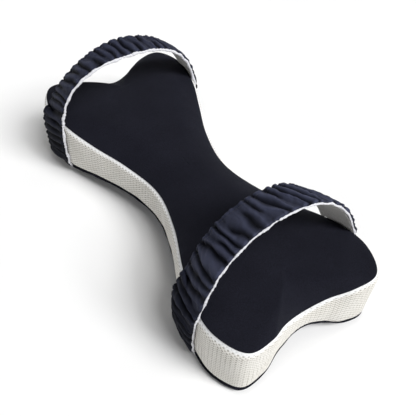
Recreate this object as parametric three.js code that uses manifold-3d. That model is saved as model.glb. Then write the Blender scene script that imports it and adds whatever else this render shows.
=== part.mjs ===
// Chair headrest attachment: a bone-shaped foam cushion that two elastic straps tie to a chair.
// Millimetres. The cushion lies along X on its bottom panel, whose flat middle is at z = 0.
// Parts that touch on the real object keep a gap of PART_GAP between them here.
import * as THREE from 'three';
import { mergeVertices } from 'three/addons/utils/BufferGeometryUtils.js';
import Module from 'manifold-3d';

const wasm = await Module();
wasm.setup();

// ---------------------------------------------------------------- driving dimensions
const PART_GAP = 0.3;

// Cushion
const MID_HEIGHT = 38; // middle plane of the cushion above the floor
const TOP_RISE_LOBE = 38; // top face above the middle plane, over the lobes
const TOP_RISE_WAIST = 34; // and over the waist
const BOTTOM_DROP = 38; // flat of the bottom face below the middle plane
const TOP_CROWN_RUN = 38; // distance from the seam over which the top face levels out
const BOTTOM_CROWN_RUN = 30;
const CROWN_POWER = 2.2;
const PANEL_THICKNESS = 1.5;
const GUSSET_THICKNESS = 4;
const GUSSET_BULGE = 1;
const SPINE_END = 150; // the rows of the cushion's grid fan out around this point of its spine

// One quarter of the cushion's outline, from the middle of an end notch to the middle of the waist:
// distance along, distance across, and how far the two seams lie from the middle plane there.
const QUARTER_OUTLINE = [
  [184, 0, 12.5],
  [188.5, 24.5, 20.5],
  [197, 46.5, 29.5],
  [197, 71.5, 33],
  [167, 86.5, 33],
  [127, 82, 29],
  [91, 68.5, 23],
  [48.5, 51, 19.5],
  [0, 41, 19],
];
const ROWS = 40; // grid rows from notch to notch
const RINGS = 5; // grid steps from the seam to the spine
const RING_GROWTH = 1.4;

// Straps: an elastic band between a gathered cover and a mesh lining, bound along one edge
const LINING_THICKNESS = 0.8;
const ELASTIC_THICKNESS = 1.2;
const COVER_THICKNESS = 1.2;
const HEM_WIDTH = 1.2;
const EDGING_WIDTH = 2.4;
const STRAP_THICKNESS = LINING_THICKNESS + ELASTIC_THICKNESS + COVER_THICKNESS + 2 * PART_GAP;
const STRAP_FOLD_HEIGHT = 75; // the free loop folds about this height, just over the top seam
const LOOP_NOTCH_SLOPE = 1; // slope of the loop's lower edges beside its fold line
const LEG_ROOF_SLOPE = 0.09; // slope of the legs' upper edges, so that the loop can fold over
const LEG_FOOT_CLEARANCE = 1; // between a leg's foot and the gusset
const LEG_SPREAD_RISE = 25; // height over which a leg moves out from the seam to its full span
const ARCH_STEPS = 26;
const LEG_STEPS = 4;
const STRAPS = [
  // centre along X and width; then, at the -X edge, the middle and the +X edge, the inner half span,
  // the arch's height above the middle plane, and its roundness
  { name: 'near_strap', x: 124, width: 41, spans: [80, 87.5, 91], tops: [89, 97, 105], powers: [1.87, 1.95, 2] },
  { name: 'far_strap', x: -144, width: 33, spans: [94, 91, 86.5], tops: [92.5, 92, 91.5], powers: [2, 2.3, 2.6] },
];

// Zip, set in a slot along the flat of the bottom panel
const ZIP_LENGTH = 220;
const ZIP_TAPE_TAIL = 6; // tape beyond each end of the coils
const ZIP_SLOT_WIDTH = 9;
const ZIP_STOP_LENGTH = 3;
const ZIP_GROOVE = { length: ZIP_LENGTH + 20, width: 31, depth: 6 };
const ZIP_TAPE = { width: 11, from: 3.3, z: 2.5, thickness: 0.6 };
const ZIP_COIL = { width: 2.2, from: 0.7, z: 2.4, thickness: 1.7 };
const SLIDER_X = 100; // the closed slider's middle
const SLIDER_PLATE = { length: 9, width: 7.6, thickness: 0.7, lowerZ: 1.35, upperZ: 4.5 };
const SLIDER_POST = { length: 3, width: 0.7 };
const SLIDER_LUG = { length: 1.8, width: 1.8, z: 0.35 };
const TAB_AXIS_Z = 0.75;
const PULL_TAB = { length: 18, width: 5.4, thickness: 0.7, prongEnd: 0.35, prongLength: 2.5 };

// ---------------------------------------------------------------- materials
const finish = (color, roughness, metalness = 0) =>
  new THREE.MeshStandardMaterial({ color, roughness, metalness });
const navyKnit = finish(0x20222b, 0.9);
const whiteMesh = finish(0xdedcd6, 0.85);
const gatheredNavy = finish(0x161a26, 0.8);
const whiteThread = finish(0xe6e4de, 0.8);
const elasticWhite = finish(0xe8e6e0, 0.7);
const foamCream = finish(0xefe6c8, 0.95);
const tapeNavy = finish(0x1b1d26, 0.85);
const nylonNavy = finish(0x23252e, 0.45);
const darkMetal = finish(0x55575c, 0.35, 0.9);

// ---------------------------------------------------------------- geometry helpers
// A closed geometry from points and triangles: equal points are merged and collapsed triangles dropped.
function closedGeometry(points, triangles) {
  const loose = new THREE.BufferGeometry().setFromPoints(points);
  loose.setIndex(triangles.flat());
  const merged = mergeVertices(loose, 1e-4);
  const kept = [];
  const index = merged.index.array;
  for (let i = 0; i < index.length; i += 3) {
    const [a, b, c] = index.slice(i, i + 3);
    if (a !== b && b !== c && c !== a) kept.push(a, b, c);
  }
  merged.setIndex(kept);
  return merged;
}

function solidFrom(geometry) {
  const bare = geometry.clone();
  bare.deleteAttribute('normal');
  bare.deleteAttribute('uv');
  const merged = mergeVertices(bare, 1e-4);
  const vertProperties = new Float32Array(merged.attributes.position.array);
  const triVerts = new Uint32Array(merged.index.array);
  return new wasm.Manifold(new wasm.Mesh({ numProp: 3, vertProperties, triVerts }));
}

function geometryFrom(solid) {
  const mesh = solid.getMesh();
  const geometry = new THREE.BufferGeometry();
  geometry.setAttribute('position', new THREE.BufferAttribute(mesh.vertProperties, 3));
  geometry.setIndex(new THREE.BufferAttribute(mesh.triVerts, 1));
  return geometry;
}

// A box by its lowest and highest corners.
function boxBetween(low, high) {
  const size = high.map((value, axis) => value - low[axis]);
  const middle = high.map((value, axis) => (value + low[axis]) / 2);
  return new THREE.BoxGeometry(...size).translate(...middle);
}

const cut = (geometry, ...tools) =>
  geometryFrom(tools.reduce((left, tool) => left.subtract(solidFrom(tool)), solidFrom(geometry)));

// Joins the sections of a strip, a list of equal rings of points. Each quad is split along its
// shorter diagonal, so that two strips that lie on each other are split alike.
function strip(sections, closed) {
  const count = sections[0].length;
  const points = sections.flat();
  const triangles = [];
  const spans = closed ? sections.length : sections.length - 1;
  for (let i = 0; i < spans; i += 1) {
    const next = (i + 1) % sections.length;
    for (let j = 0; j < count; j += 1) {
      const side = (j + 1) % count;
      const [a, b, c, d] = [i * count + j, i * count + side, next * count + side, next * count + j];
      const split = points[a].distanceTo(points[c]) < points[b].distanceTo(points[d]);
      triangles.push(...(split ? [[a, b, c], [a, c, d]] : [[a, b, d], [b, c, d]]));
    }
  }
  if (!closed) {
    const last = (sections.length - 1) * count;
    for (const [a, b, c] of THREE.ShapeUtils.triangulateShape(sectionOutline(sections[0]), [])) {
      triangles.push([c, b, a], [last + a, last + b, last + c]);
    }
  }
  return closedGeometry(points, triangles);
}

// The points of a section of a strip, flattened into the plane they lie in.
function sectionOutline(section) {
  const along = section[1].clone().sub(section[0]).normalize();
  const normal = new THREE.Vector3();
  section.forEach((point, i) => {
    const next = section[(i + 1) % section.length];
    normal.add(point.clone().sub(section[0]).cross(next.clone().sub(section[0])));
  });
  const across = normal.normalize().cross(along);
  return section.map((point) => {
    const offset = point.clone().sub(section[0]);
    return new THREE.Vector2(offset.dot(along), offset.dot(across));
  });
}

// ---------------------------------------------------------------- cushion
const mirrored = (flipX, flipY) =>
  QUARTER_OUTLINE.map(([x, y, h]) => new THREE.Vector3(flipX * x, flipY * y, h));
const outline = new THREE.CatmullRomCurve3(
  [
    ...mirrored(1, 1),
    ...mirrored(-1, 1).reverse().slice(1),
    ...mirrored(-1, -1).slice(1),
    ...mirrored(1, -1).reverse().slice(1, -1),
  ],
  true,
  'centripetal',
);
outline.arcLengthDivisions = 3200;

const topRise = (x) =>
  THREE.MathUtils.lerp(TOP_RISE_WAIST, TOP_RISE_LOBE, THREE.MathUtils.smoothstep(Math.abs(x), 20, 110));
const bottomDrop = () => BOTTOM_DROP;

// The rows of the cushion's grid on its +Y half, from the notch at +X to the notch at -X. Each row
// runs straight from a point of the outline to the spine, and keeps its distances from the outline.
const rows = [];
for (let i = 0; i <= ROWS; i += 1) {
  const edge = outline.getPointAt(i / (2 * ROWS));
  if (i === 0 || i === ROWS) edge.y = 0;
  const inward = new THREE.Vector2(THREE.MathUtils.clamp(edge.x, -SPINE_END, SPINE_END) - edge.x, -edge.y);
  rows.push({ x: edge.x, y: edge.y, seam: edge.z, length: inward.length(), inward: inward.normalize() });
}

// A point of a row, at a distance from the outline and a height above the middle plane.
function rowPoint(row, distance, height, side) {
  const x = row.x + row.inward.x * distance;
  const y = row.y + row.inward.y * distance;
  return new THREE.Vector3(x, side * y, MID_HEIGHT + height);
}

// Distances from the outline of the grid's rings; the second ring clears the gusset's inside.
function ringDistance(row, ring) {
  if (ring === 0) return 0;
  const start = GUSSET_THICKNESS + PART_GAP;
  return start + (row.length - start) * ((ring - 1) / (RINGS - 1)) ** RING_GROWTH;
}

// Height of a crowned face above its seam's plane, levelling out over a run from the seam.
function crownHeight(row, distance, rise, run) {
  const reach = Math.min(1, distance / Math.min(run, row.length));
  const level = rise(row.x + row.inward.x * distance);
  return row.seam + (level - row.seam) * (1 - (1 - reach) ** CROWN_POWER);
}
const topFace = (drop) => (row, distance) => crownHeight(row, distance, topRise, TOP_CROWN_RUN) - drop;
const bottomFace = (lift) => (row, distance) =>
  lift - crownHeight(row, distance, bottomDrop, BOTTOM_CROWN_RUN);

// A closed solid between an upper and a lower face, from the given ring inwards.
function cushionSlab(upper, lower, firstRing) {
  const across = RINGS - firstRing;
  const columns = 2 * across + 1;
  const face = (height) =>
    rows.flatMap((row) =>
      Array.from({ length: columns }, (_, column) => {
        const distance = ringDistance(row, RINGS - Math.abs(column - across));
        return rowPoint(row, distance, height(row, distance), column < across ? -1 : 1);
      }),
    );
  const points = [...face(upper), ...face(lower)];
  const below = rows.length * columns;
  const triangles = [];
  for (let i = 0; i < rows.length - 1; i += 1) {
    for (let j = 0; j < columns - 1; j += 1) {
      const [a, b, c, d] = [i, i, i + 1, i + 1].map((row, k) => row * columns + j + (k % 3 ? 1 : 0));
      triangles.push([a, b, c], [a, c, d]);
      triangles.push([below + c, below + b, below + a], [below + d, below + c, below + a]);
    }
    const [left, leftNext] = [i * columns, (i + 1) * columns];
    const [right, rightNext] = [left + columns - 1, leftNext + columns - 1];
    triangles.push([left, leftNext, below + leftNext], [left, below + leftNext, below + left]);
    triangles.push([rightNext, right, below + right], [rightNext, below + right, below + rightNext]);
  }
  return closedGeometry(points, triangles);
}

const zipGroove = boxBetween(
  [-ZIP_GROOVE.length / 2, -ZIP_GROOVE.width / 2, -1],
  [ZIP_GROOVE.length / 2, ZIP_GROOVE.width / 2, ZIP_GROOVE.depth],
);
const zipSlot = boxBetween(
  [-ZIP_LENGTH / 2 - ZIP_TAPE_TAIL, -ZIP_SLOT_WIDTH / 2, -1],
  [ZIP_LENGTH / 2 + ZIP_TAPE_TAIL, ZIP_SLOT_WIDTH / 2, ZIP_GROOVE.depth],
);

function foamCore() {
  const inside = PANEL_THICKNESS + PART_GAP;
  return cut(cushionSlab(topFace(inside), bottomFace(inside), 1), zipGroove);
}

const topPanel = () => cushionSlab(topFace(0), topFace(PANEL_THICKNESS), 0);
const bottomPanel = () => cut(cushionSlab(bottomFace(PANEL_THICKNESS), bottomFace(0), 0), zipSlot);

// The gusset's wall between the two panels, all the way round the cushion.
function gusset() {
  const levels = [-1, -0.4, 0.4, 1];
  const section = (row, side) => {
    const half = row.seam - PANEL_THICKNESS - PART_GAP;
    const outer = levels.map((level) =>
      rowPoint(row, -GUSSET_BULGE * (1 - level ** 2), half * level, side));
    const inner = [1, -1].map((level) => rowPoint(row, GUSSET_THICKNESS, half * level, side));
    return [...outer, ...inner];
  };
  const rightHalf = rows.map((row) => section(row, 1));
  const leftHalf = rows.slice(1, -1).map((row) => section(row, -1));
  return strip([...leftHalf, ...rightHalf.reverse()], true);
}

// ---------------------------------------------------------------- straps
// The cushion's side at a distance along X: how far out it is, and its seams' height there.
function flank(x) {
  const turns = QUARTER_OUTLINE.length * 4 - 4;
  let [low, high] = [3.4 / turns, 8 / turns];
  for (let i = 0; i < 40; i += 1) {
    const middle = (low + high) / 2;
    if (outline.getPoint(middle).x > Math.abs(x)) low = middle;
    else high = middle;
  }
  const { y, z } = outline.getPoint(low);
  return { y, seam: z };
}

// The arch at a distance dx from a strap's centre line: its half span, top and roundness.
function archAt(strap, dx) {
  const share = THREE.MathUtils.clamp(dx / strap.width + 0.5, 0, 1) * 2;
  const from = Math.min(Math.floor(share), 1);
  const [span, top, power] = [strap.spans, strap.tops, strap.powers].map((values) =>
    THREE.MathUtils.lerp(values[from], values[from + 1], share - from),
  );
  return { span, top, power };
}

// Half the inner span of a strap at a height above the floor.
function strapSpan(strap, dx, z) {
  const { span, top, power } = archAt(strap, dx);
  const rise = THREE.MathUtils.clamp((z - MID_HEIGHT) / top, 0, 1);
  return span * (1 - rise ** power) ** (1 / power);
}

// Inner path of a strap's arch at dx, from the middle plane on the -Y side to the same on the +Y side.
function archPath(strap, dx) {
  const { span, top, power } = archAt(strap, dx);
  const path = [];
  for (let i = 0; i <= ARCH_STEPS; i += 1) {
    const angle = Math.PI * (1 - i / ARCH_STEPS);
    const y = span * Math.sign(Math.cos(angle)) * Math.abs(Math.cos(angle)) ** (2 / power);
    const z = MID_HEIGHT + top * Math.sin(angle) ** (2 / power);
    path.push({ y, z });
  }
  return path.map((point, i) => {
    const before = path[Math.max(0, i - 1)];
    const after = path[Math.min(ARCH_STEPS, i + 1)];
    const along = new THREE.Vector2(after.y - before.y, after.z - before.z).normalize();
    const level = i === 0 || i === ARCH_STEPS;
    const outward = level ? new THREE.Vector2(Math.sign(point.y), 0) : new THREE.Vector2(-along.y, along.x);
    return { ...point, outward };
  });
}

// Sweeps a section, given as [offset along X, distance out from the inner path], over the arch.
function archStrip(strap, section) {
  const lines = section.map(([dx, out]) =>
    archPath(strap, dx).map(({ y, z, outward }) =>
      new THREE.Vector3(strap.x + dx, y + outward.x * out, z + outward.y * out),
    ),
  );
  const rings = lines[0].map((_, i) => lines.map((line) => line[i]));
  return strip(rings, false);
}

// A wedge below the lines that fall or rise from the fold line to both sides of a strap.
function foldWedge(strap, slope, foldHeight) {
  const reach = strap.width;
  const shape = new THREE.Shape([
    new THREE.Vector2(-reach, -foldHeight),
    new THREE.Vector2(reach, -foldHeight),
    new THREE.Vector2(reach, reach * slope),
    new THREE.Vector2(0, 0),
    new THREE.Vector2(-reach, reach * slope),
  ]);
  const depth = 2 * Math.max(...strap.spans) + 40;
  const wedge = new THREE.ExtrudeGeometry(shape, { depth, bevelEnabled: false });
  return wedge.rotateX(Math.PI / 2).translate(strap.x, depth / 2, foldHeight);
}

const sectionBetween = (x0, x1, out0, out1) => [[x0, out0], [x0, out1], [x1, out1], [x1, out0]];

function strapLoop(strap) {
  const half = strap.width / 2;
  const elasticOut = LINING_THICKNESS + PART_GAP;
  const coverOut = elasticOut + ELASTIC_THICKNESS + PART_GAP;
  const inHem = -half + HEM_WIDTH + PART_GAP;
  const sections = {
    lining: sectionBetween(inHem, half, 0, LINING_THICKNESS),
    elastic: sectionBetween(inHem, half, elasticOut, elasticOut + ELASTIC_THICKNESS),
    cover: [
      [-half, 0],
      [-half, STRAP_THICKNESS],
      [half, STRAP_THICKNESS],
      [half, coverOut],
      [-half + HEM_WIDTH, coverOut],
      [-half + HEM_WIDTH, 0],
    ],
    edging: sectionBetween(half + PART_GAP, half + PART_GAP + EDGING_WIDTH, 0, STRAP_THICKNESS),
  };
  const wedge = foldWedge(strap, LOOP_NOTCH_SLOPE, STRAP_FOLD_HEIGHT);
  return Object.fromEntries(
    Object.entries(sections).map(([layer, section]) => [layer, cut(archStrip(strap, section), wedge)]),
  );
}

// The stretch of a strap from the bottom seam to the fold line, all its layers sewn together.
function strapLeg(strap, side) {
  const half = strap.width / 2;
  const edges = [-half, -half / 2, 0, half / 2, half, half + PART_GAP + EDGING_WIDTH];
  const sections = edges.map((dx) => {
    const x = strap.x + dx;
    const { y: flankY, seam } = flank(x);
    const foot = MID_HEIGHT - seam;
    const head = STRAP_FOLD_HEIGHT - PART_GAP - LEG_ROOF_SLOPE * Math.abs(dx);
    const inner = [];
    for (let i = 0; i <= LEG_STEPS; i += 1) {
      const z = THREE.MathUtils.lerp(foot, head, i / LEG_STEPS);
      const spread = THREE.MathUtils.smoothstep(z - foot, 0, LEG_SPREAD_RISE);
      inner.push([THREE.MathUtils.lerp(flankY + LEG_FOOT_CLEARANCE, strapSpan(strap, dx, z), spread), z]);
    }
    const outer = inner.map(([y, z]) => [y + STRAP_THICKNESS, z]);
    const ring = [...inner, ...outer.reverse()].map(([y, z]) => new THREE.Vector3(x, side * y, z));
    return side > 0 ? ring.reverse() : ring;
  });
  return strip(sections, false);
}

// ---------------------------------------------------------------- zip
// A bar along the zip on one side of it, from a profile's inner edge outwards.
function zipBar(side, profile, reach) {
  const [from, to] = [profile.from, profile.from + profile.width].map((y) => side * y);
  return boxBetween(
    [-reach, Math.min(from, to), profile.z],
    [reach, Math.max(from, to), profile.z + profile.thickness],
  );
}

const zipTape = (side) => zipBar(side, ZIP_TAPE, ZIP_LENGTH / 2 + ZIP_TAPE_TAIL);
const zipCoil = (side) => zipBar(side, ZIP_COIL, ZIP_LENGTH / 2);

function zipStop(end) {
  const half = ZIP_COIL.from + ZIP_COIL.width;
  const [from, to] = [PART_GAP, PART_GAP + ZIP_STOP_LENGTH].map((gap) => end * (ZIP_LENGTH / 2 + gap));
  return boxBetween(
    [Math.min(from, to), -half, ZIP_COIL.z],
    [Math.max(from, to), half, ZIP_COIL.z + ZIP_COIL.thickness],
  );
}

// Two plates joined by a post that runs between the coils, and a lug below for the pull tab.
function zipSlider() {
  const bar = ({ length, width }, lowZ, highZ) =>
    boxBetween([SLIDER_X - length / 2, -width / 2, lowZ], [SLIDER_X + length / 2, width / 2, highZ]);
  const { lowerZ, upperZ, thickness } = SLIDER_PLATE;
  const weld = thickness / 2;
  const pieces = [
    bar(SLIDER_PLATE, upperZ, upperZ + thickness),
    bar(SLIDER_POST, lowerZ + weld, upperZ + weld),
    bar(SLIDER_LUG, SLIDER_LUG.z, lowerZ + weld),
  ];
  const lowerPlate = solidFrom(bar(SLIDER_PLATE, lowerZ, lowerZ + thickness));
  return geometryFrom(pieces.reduce((joined, piece) => joined.add(solidFrom(piece)), lowerPlate));
}

// A flat tab with two prongs beside the slider's lug, lying back along the zip.
function pullTab() {
  const { length, width, thickness, prongEnd, prongLength } = PULL_TAB;
  const half = width / 2;
  const prongInside = SLIDER_LUG.width / 2 + PART_GAP;
  const corner = width / 3;
  const shape = new THREE.Shape();
  shape.moveTo(prongEnd, half);
  shape.lineTo(-length + corner, half);
  shape.quadraticCurveTo(-length, half, -length, 0);
  shape.quadraticCurveTo(-length, -half, -length + corner, -half);
  shape.lineTo(prongEnd, -half);
  shape.lineTo(prongEnd, -prongInside);
  shape.lineTo(-prongLength, -prongInside);
  shape.lineTo(-prongLength, prongInside);
  shape.lineTo(prongEnd, prongInside);
  shape.closePath();
  const plate = new THREE.ExtrudeGeometry(shape, { depth: thickness, bevelEnabled: false, curveSegments: 5 });
  return plate.translate(SLIDER_X, 0, TAB_AXIS_Z - thickness / 2);
}

// ---------------------------------------------------------------- assembly
const attachment = new THREE.Group();
const place = (name, geometry, material, group = attachment) => {
  const mesh = new THREE.Mesh(geometry, material);
  mesh.name = name;
  group.add(mesh);
};

place('foam_core', foamCore(), foamCream);
place('top_panel', topPanel(), navyKnit);
place('gusset', gusset(), whiteMesh);
place('bottom_panel', bottomPanel(), navyKnit);

for (const strap of STRAPS) {
  const group = new THREE.Group();
  const loop = strapLoop(strap);
  place(`${strap.name}_cover`, loop.cover, gatheredNavy, group);
  place(`${strap.name}_elastic`, loop.elastic, elasticWhite, group);
  place(`${strap.name}_lining`, loop.lining, whiteMesh, group);
  place(`${strap.name}_edging`, loop.edging, whiteThread, group);
  place(`${strap.name}_leg_left`, strapLeg(strap, -1), gatheredNavy, group);
  place(`${strap.name}_leg_right`, strapLeg(strap, 1), gatheredNavy, group);
  attachment.add(group);
}

const zip = new THREE.Group();
for (const [sideName, side] of [['left', -1], ['right', 1]]) {
  place(`zip_tape_${sideName}`, zipTape(side), tapeNavy, zip);
  place(`zip_coil_${sideName}`, zipCoil(side), nylonNavy, zip);
}
place('zip_closed_stop', zipStop(1), darkMetal, zip);
place('zip_open_stop', zipStop(-1), darkMetal, zip);
place('zip_slider', zipSlider(), darkMetal, zip);
place('zip_pull_tab', pullTab(), darkMetal, zip);
attachment.add(zip);

export default attachment;
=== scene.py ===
# Looks for the chair headrest attachment: a bone-shaped foam cushion in a knit and mesh cover,
# with two gathered elastic straps and a zip underneath. The frame is the CAD model's: metres,
# +X along the cushion, +Z up, resting on z = 0. Sizes below are in millimetres until a mesh is made.
import math

import bmesh
import bpy
import numpy as np
from mathutils import Matrix, Vector


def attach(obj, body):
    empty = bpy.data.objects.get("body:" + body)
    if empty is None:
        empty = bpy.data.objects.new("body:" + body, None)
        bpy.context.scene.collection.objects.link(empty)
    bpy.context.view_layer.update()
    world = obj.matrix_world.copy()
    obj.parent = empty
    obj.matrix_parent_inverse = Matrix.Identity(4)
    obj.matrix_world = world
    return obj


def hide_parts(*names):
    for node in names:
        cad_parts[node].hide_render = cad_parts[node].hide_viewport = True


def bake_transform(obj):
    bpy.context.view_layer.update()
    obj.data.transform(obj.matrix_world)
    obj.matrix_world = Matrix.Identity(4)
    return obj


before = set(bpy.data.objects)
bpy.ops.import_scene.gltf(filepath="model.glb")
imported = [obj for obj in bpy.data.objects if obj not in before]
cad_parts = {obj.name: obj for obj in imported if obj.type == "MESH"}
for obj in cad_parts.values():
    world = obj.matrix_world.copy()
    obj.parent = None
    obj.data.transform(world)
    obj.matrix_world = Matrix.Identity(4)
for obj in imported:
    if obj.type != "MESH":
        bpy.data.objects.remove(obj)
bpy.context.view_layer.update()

MM = 0.001
TURN = 2 * math.pi

# ---------------- sizes
# One quarter of the outline from the middle of an end notch to the middle of the waist: distance
# along, distance across, and how far both seams lie from the cushion's middle plane there.
QUARTER_OUTLINE = [
    (184, 0, 12.5), (188.5, 24.5, 20.5), (197, 46.5, 29.5), (197, 71.5, 33), (167, 86.5, 33),
    (127, 82, 29), (91, 68.5, 23), (48.5, 51, 19.5), (0, 41, 19),
]
MID_HEIGHT = 38
TOP_RISE_LOBE, TOP_RISE_WAIST = 38, 34
BOTTOM_DROP = 38
TOP_CROWN_RUN, BOTTOM_CROWN_RUN = 38, 30
TOP_CROWN_POWER, BOTTOM_CROWN_POWER = 2.2, 2.2
SPINE_END = 150
PANEL_THICKNESS = 1.2
PUCKER_TOP, PUCKER_BOTTOM = 0.45, 0.3  # height of the puckers beside each panel's seam
CLOTH_PRESSURE, CLOTH_FRAMES = 4, 20
SWELL_TOP, SWELL_REST = 2.5, 1.2  # the most that the top panel and the rest of the cover may swell
LOBE_BLEND, SETTLE_ROUNDS, SETTLE_DROP = 8, 120, 1.2  # how the top panel's lobes are evened out
FLANK = 25  # anything further than this from the middle, across, is on one flank
SEAM_TUCK = 0.9  # how far each cloth turns in where two of them are sewn together
SLOT_LENGTH, SLOT_WIDTH = 232, 9  # the opening underneath that the zip closes
GUSSET_BULGE = 3.1
GUSSET_THICKNESS = 3.2
MESH_PITCH, MESH_ROW = 4.3, 1.65  # the side mesh's diamonds along the wall and up it
MESH_DEPTH = 0.4
HEM_STRIP = (2.2, 5.5)  # the side mesh's closed strip ends between these distances from its top seam
ROLL_OUT, ROLL_WIDTH, ROLL_HEIGHT = 1.2, 1.8, 1.1  # the bottom panel's rolled edge: place and radii

AROUND = 288  # grid columns round the cushion
PANEL_RINGS = 20
GUSSET_LEVELS = 13
GUSSET_REFINE = 5  # finer points to each of those, both ways

# Straps. back and front are each edge's place along X at the foot, at the cushion's top seam and at
# the arch's top. spans, tops and powers give the arch at the back edge, the middle and the front
# edge; tops are above the middle plane. twist is how far the back edge and the front edge come
# forward on the +Y side; squarer and spread change the power and the span of the arch's +Y half.
# pitch and depth are the gathers' spacing and height, puff how far the cover stands off below the
# top seam, scallop how much the back edge waves, edge the binding's two radii across and out from
# the strap, and tone the painted shade over the whole cover, 1 for none and less for darker.
STRAPS = {
    "near": dict(
        back=(108, 107, 103), front=(147, 149, 143), spans=(78, 86.5, 90.5), tops=(88.5, 97, 105),
        powers=(1.87, 1.95, 2), twist=(14, 0), squarer=(1.12, 1), spread=-1,
        pitch=10.5, depth=4.6, puff=6.5, scallop=0.4, edge=(0.8, 1.05), tone=1, seed=11,
    ),
    "far": dict(
        back=(-164, -163, -157), front=(-128, -126.5, -126), spans=(90, 89, 86.5), tops=(92.5, 92.5, 93),
        powers=(1.85, 2.3, 2.75), twist=(0, -6), squarer=(1.05, 0.85), spread=0,
        pitch=10, depth=4.0, puff=0.5, scallop=0.9, edge=(1.6, 1.5), tone=0.75, seed=23,
    ),
}
SEAM_LEVEL = 31  # the top seam's height above the middle plane beside the straps
LEG_SPREAD_RISE = 25  # the height over which a leg spreads from its foot to the arch's span


# ---------------- curves and grids
def outline_loop(count):
    """Points (x, y, seam height) equally spaced round the outline, from the +X notch towards +Y."""
    quarter = np.array(QUARTER_OUTLINE, float)
    loop = np.concatenate([
        quarter,
        (quarter * [-1, 1, 1])[::-1][1:],
        (quarter * [-1, -1, 1])[1:],
        (quarter * [1, -1, 1])[::-1][1:-1],
    ])
    dense = refine(loop, 48, centripetal=True)
    closed = np.concatenate([dense, dense[:1]])
    travelled = travel(closed[:, :2])
    wanted = np.arange(count) / count * travelled[-1]
    return np.stack([np.interp(wanted, travelled, closed[:, k]) for k in range(3)], axis=1)


def refine(values, factor, closed=True, centripetal=False):
    """Catmull-Rom interpolation along the first axis, factor points to a span."""
    if closed:
        before, here = np.roll(values, 1, axis=0), values
        after, beyond = np.roll(values, -1, axis=0), np.roll(values, -2, axis=0)
    else:
        padded = np.concatenate([[2 * values[0] - values[1]], values, [2 * values[-1] - values[-2]]])
        before, here, after, beyond = padded[:-3], padded[1:-2], padded[2:-1], padded[3:]
    if centripetal:
        knots = [np.linalg.norm(b - a, axis=-1, keepdims=True) ** 0.5
                 for a, b in ((before, here), (here, after), (after, beyond))]
    else:
        knots = [np.ones(here.shape[:1] + (1,) * (here.ndim - 1))] * 3
    t1, t2, t3 = knots[0], knots[0] + knots[1], knots[0] + knots[1] + knots[2]
    out = []
    for step in range(factor):
        t = t1 + (t2 - t1) * step / factor
        a1 = (t1 - t) / t1 * before + t / t1 * here
        a2 = (t2 - t) / (t2 - t1) * here + (t - t1) / (t2 - t1) * after
        a3 = (t3 - t) / (t3 - t2) * after + (t - t2) / (t3 - t2) * beyond
        b1 = (t2 - t) / t2 * a1 + t / t2 * a2
        b2 = (t3 - t) / (t3 - t1) * a2 + (t - t1) / (t3 - t1) * a3
        out.append((t2 - t) / (t2 - t1) * b1 + (t - t1) / (t2 - t1) * b2)
    fine = np.stack(out, axis=1).reshape((-1,) + values.shape[1:])
    return fine if closed else np.concatenate([fine, values[-1:]])


def travel(line):
    """The distance along a line to each of its points."""
    return np.concatenate([[0], np.cumsum(np.linalg.norm(np.diff(line, axis=0), axis=1))])


def unit(vectors):
    return vectors / np.maximum(np.linalg.norm(vectors, axis=-1, keepdims=True), 1e-12)


def smoothstep(x, low, high):
    t = np.clip((x - low) / (high - low), 0, 1)
    return t * t * (3 - 2 * t)


def mix(a, b, t):
    return a + (b - a) * t


def waves(seed, count, shortest, longest):
    """A smooth random function of two lengths, between about -1 and 1."""
    rng = np.random.default_rng(seed)
    lengths = rng.uniform(shortest, longest, count)
    turns = rng.uniform(-0.9, 0.9, count)
    phases = rng.uniform(0, TURN, count)

    def value(along, across):
        total = sum(np.sin(TURN * (along * math.cos(turn) + across * math.sin(turn)) / length + phase)
                    for length, turn, phase in zip(lengths, turns, phases))
        return total / math.sqrt(count)
    return value


def grid_normals(grid, closed_rows, closed_columns):
    """Unit normals of a grid of points, by central differences."""
    def slope(axis, closed):
        if closed:
            return np.roll(grid, -1, axis) - np.roll(grid, 1, axis)
        return np.gradient(grid, axis=axis)
    return unit(np.cross(slope(0, closed_rows), slope(1, closed_columns)))


# ---------------- meshes
def add_object(name, data):
    piece = bpy.data.objects.new(name, data)
    bpy.context.scene.collection.objects.link(piece)
    return piece


def make_object(name, points, faces, uvs=None):
    """An object from points in millimetres; uvs hold one pair per point."""
    mesh = bpy.data.meshes.new(name)
    mesh.from_pydata((np.asarray(points, float).reshape(-1, 3) * MM).tolist(), [], faces)
    if uvs is not None:
        corners = np.empty(len(mesh.loops), dtype=np.int32)
        mesh.loops.foreach_get("vertex_index", corners)
        layer = mesh.uv_layers.new(name="UVMap")
        layer.data.foreach_set("uv", (np.asarray(uvs, float) * MM)[corners].astype(np.float32).ravel())
    mesh.validate()
    mesh.shade_smooth()
    return add_object(name, mesh)


def grid_faces(rows, columns, closed_rows=False, closed_columns=False, offset=0):
    i = np.arange(rows if closed_rows else rows - 1)[:, None]
    j = np.arange(columns if closed_columns else columns - 1)[None, :]
    i_next, j_next = (i + 1) % rows, (j + 1) % columns
    corners = [i * columns + j, i_next * columns + j, i_next * columns + j_next, i * columns + j_next]
    return (np.stack(corners, axis=-1).reshape(-1, 4) + offset).tolist()


def tidy(piece):
    """Merges equal points, removes collapsed faces and turns every face outwards."""
    bm = bmesh.new()
    bm.from_mesh(piece.data)
    bmesh.ops.remove_doubles(bm, verts=bm.verts, dist=1e-6)
    bmesh.ops.dissolve_degenerate(bm, edges=bm.edges, dist=1e-7)
    bmesh.ops.recalc_face_normals(bm, faces=bm.faces)
    bm.to_mesh(piece.data)
    bm.free()
    return piece


def point_attribute(piece, name, values):
    layer = piece.data.attributes.new(name, "FLOAT", "POINT")
    layer.data.foreach_set("value", np.asarray(values, np.float32).ravel())


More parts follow.
